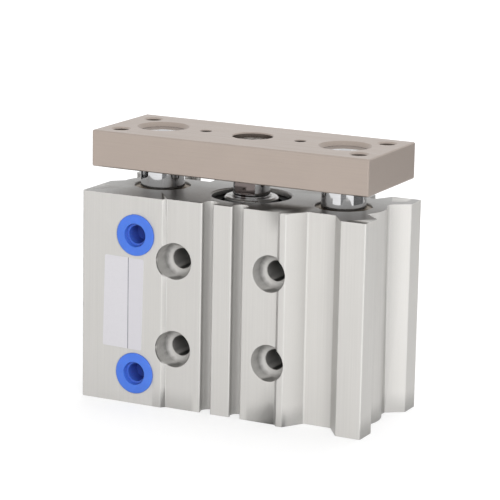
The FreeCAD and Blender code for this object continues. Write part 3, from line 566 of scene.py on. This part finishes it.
def run_out_counterbores():
    """The housing, with its counterbores also cut through the raised faces beside the sunk panel.

    The CAD leaves a thin skin over them there.
    """
    body = bmesh.new()
    body.from_mesh(nodes["housing"].data)
    bmesh.ops.remove_doubles(body, verts=body.verts, dist=WELD * MM)
    blank = add_object("housing_blank", bpy.data.meshes.new("housing_shell"))
    body.to_mesh(blank.data)
    body.free()

    middle, (half_x, half_z), _ = hole_pattern("side_mounting_holes")
    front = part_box("housing")[0].y
    upright = Matrix.Rotation(math.pi / 2, 4, "X")
    cutters = bmesh.new()
    for sx in (-1, 1):
        for sz in (-1, 1):
            place = Vector((middle.x + sx * half_x * MM, front - CUTTER_AHEAD * MM,
                            middle.z + sz * half_z * MM))
            bmesh.ops.create_cone(cutters, cap_ends=True, segments=CUTTER_SIDES,
                                  radius1=CUTTER_R * MM, radius2=CUTTER_R * MM,
                                  depth=CUTTER_LENGTH * MM,
                                  matrix=Matrix.Translation(place) @ upright)
    tool = add_object("counterbore_tool", bpy.data.meshes.new("counterbore_tool"))
    cutters.to_mesh(tool.data)
    cutters.free()

    cut = blank.modifiers.new("cut", "BOOLEAN")
    cut.operation, cut.solver, cut.object = "DIFFERENCE", "EXACT", tool
    scene_state = bpy.context.evaluated_depsgraph_get()
    mesh = bpy.data.meshes.new_from_object(blank.evaluated_get(scene_state))
    for item in (tool, blank):
        bpy.data.objects.remove(item)
    mesh.materials.clear()
    material = nodes["housing"].data.materials[0]
    piece = add_piece("housing_shell", mesh, material, FIXED)
    even = piece.modifiers.new("even_normals", "WEIGHTED_NORMAL")
    even.mode, even.weight, even.keep_sharp = "FACE_AREA", NORMAL_WEIGHT, True
    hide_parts("housing")


def add_thread_set(prefix, pattern, bottom, top, material, body):
    centre, (half_x, half_y), radius = hole_pattern(pattern)
    centre = centre / MM
    holes = [(centre.x + sx * half_x, centre.y + sy * half_y) for sx in (-1, 1)
             for sy in (-1, 1)]
    for number, (x, y) in enumerate(holes):
        name = f"{prefix}_{number}"
        add_piece(name, thread_helix(name, x, y, bottom, top, radius), material, body)


def add_threads():
    plate_low, plate_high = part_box("end_plate")
    steel = turned_metal("thread_steel", (0.38, 0.33, 0.28), 0.85, 0.34)
    alloy = turned_metal("thread_aluminium", (0.50, 0.50, 0.49), 0.7, 0.34)
    add_thread_set("plate_thread", "plate_tapped_holes", plate_low.z / MM + THREAD_INSET,
                   plate_high.z / MM - THREAD_INSET, steel, MOVING)
    add_thread_set("bottom_thread", "bottom_tapped_holes", THREAD_INSET, BOTTOM_THREAD_TOP,
                   alloy, FIXED)


# --- Stage -------------------------------------------------------------------------------------
def direction(azimuth, elevation):
    """Unit vector from the object: azimuth 0 is the front (-Y), turning towards +X."""
    a, e = math.radians(azimuth), math.radians(elevation)
    return Vector((math.sin(a) * math.cos(e), -math.cos(a) * math.cos(e), math.sin(e)))


def add_area_light(name, azimuth, elevation, power):
    data = bpy.data.lights.new(name, "AREA")
    data.shape = "SQUARE"
    data.size = LAMP_SIZE
    data.energy = power
    lamp = add_object(name, data)
    way = direction(azimuth, elevation)
    lamp.location = (cad_box[0] + cad_box[1]) / 2 + way * LAMP_DISTANCE
    lamp.visible_glossy = False
    lamp.rotation_mode = "QUATERNION"
    lamp.rotation_quaternion = way.to_track_quat("Z", "Y")


def add_card(name, azimuth, spread, foot, head, level):
    """Upright grey card that only reflections see: it puts the dark bands on polished metal."""
    half = CARD_DISTANCE * math.tan(math.radians(spread / 2))
    corners = [(-half, 0, foot), (half, 0, foot), (half, 0, head), (-half, 0, head)]
    mesh = mesh_from(name, corners, [(0, 1, 2, 3)])
    card = add_object(name, mesh)
    card.location = direction(azimuth, 0) * CARD_DISTANCE
    card.rotation_euler.z = math.radians(azimuth)
    card.visible_camera = card.visible_diffuse = card.visible_shadow = False
    s = Shader(name, BLACK, roughness=1.0)
    grey = s.mix(s.noise(6, detail=1.0), (level * 0.9,) * 3, (level * 1.1,) * 3)
    mesh.materials.append(s.show(s.add("Emission", inputs={"Color": grey, "Strength": 1.0})))


def add_world():
    """White to the camera and in reflections, and a plain level of soft light elsewhere."""
    world = bpy.data.worlds.new("studio")
    bpy.context.scene.world = world
    world.use_nodes = True
    world.node_tree.nodes.clear()
    w = Nodes(world.node_tree)
    seen = w.rays("Is Camera Ray", "Is Glossy Ray", "Is Transmission Ray")
    soft, white = (w.add("Background", inputs={"Color": WHITE, "Strength": strength})
                   for strength in (AMBIENT, 1.0))
    output = w.tree.nodes.new("ShaderNodeOutputWorld")
    w.set(output, "Surface", w.add("MixShader", inputs={0: seen, 1: soft, 2: white}))


def add_floor():
    """Pale floor that shows white to the camera apart from a soft contact shadow.

    From below it can be seen through.
    """
    corners = [(sx * FLOOR_HALF, sy * FLOOR_HALF, 0)
               for sx, sy in ((-1, -1), (1, -1), (1, 1), (-1, 1))]
    mesh = mesh_from("studio_floor", corners, [(0, 1, 2, 3)])
    floor = add_object("studio_floor", mesh)
    floor.location.z = cad_box[0].z - FLOOR_GAP
    s = Shader("studio_floor", (0.32, 0.32, 0.32), roughness=0.8)
    s.finish(s.mix(s.noise(400, detail=2.0), (0.31, 0.31, 0.31), (0.33, 0.33, 0.33)))
    matt = s.bsdf.outputs[0]
    away = s.add("VectorMath", "Value", {0: s.coords.outputs["Object"]}, operation="LENGTH")
    strength = s.spread(away, *FLOOR_GLOW, *FLOOR_GLOW_AT)
    glow = s.add("Emission", inputs={"Color": WHITE, "Strength": strength})
    bright = s.add("AddShader", inputs={0: matt, 1: glow})
    watched = s.rays("Is Camera Ray", "Is Glossy Ray")
    above = s.add("MixShader", inputs={0: watched, 1: matt, 2: bright})
    behind = s.add("NewGeometry", "Backfacing")
    clear = s.add("BsdfTransparent")
    mesh.materials.append(s.show(s.add("MixShader", inputs={0: behind, 1: above, 2: clear})))


def add_camera():
    back = direction(CAMERA_AZIMUTH, CAMERA_ELEVATION)
    right = (-back).cross(Vector((0, 0, 1))).normalized()
    up = right.cross(-back)
    aim = Vector((0, 0, CAMERA_AIM_HEIGHT)) + right * CAMERA_AIM_RIGHT + up * CAMERA_AIM_UP
    turned_right = right * math.cos(CAMERA_ROLL) + up * math.sin(CAMERA_ROLL)
    turned_up = up * math.cos(CAMERA_ROLL) - right * math.sin(CAMERA_ROLL)
    data = bpy.data.cameras.new("camera")
    data.sensor_width = CAMERA_SENSOR
    data.lens = CAMERA_LENS
    data.clip_start, data.clip_end = CAMERA_CLIP
    camera = add_object("camera", data)
    turn = Matrix((turned_right, turned_up, back)).transposed().to_4x4()
    camera.matrix_world = Matrix.Translation(aim + back * CAMERA_DISTANCE) @ turn
    bpy.context.scene.camera = camera


def main():
    bpy.context.scene.view_settings.view_transform = "Standard"
    dress_cad_nodes()
    run_out_counterbores()
    add_label()
    add_threads()
    add_world()
    for name, lamp in LAMPS.items():
        add_area_light(name, **lamp)
    for name, card in CARDS.items():
        add_card(name + "_card", **card)
    add_floor()
    add_camera()


main()
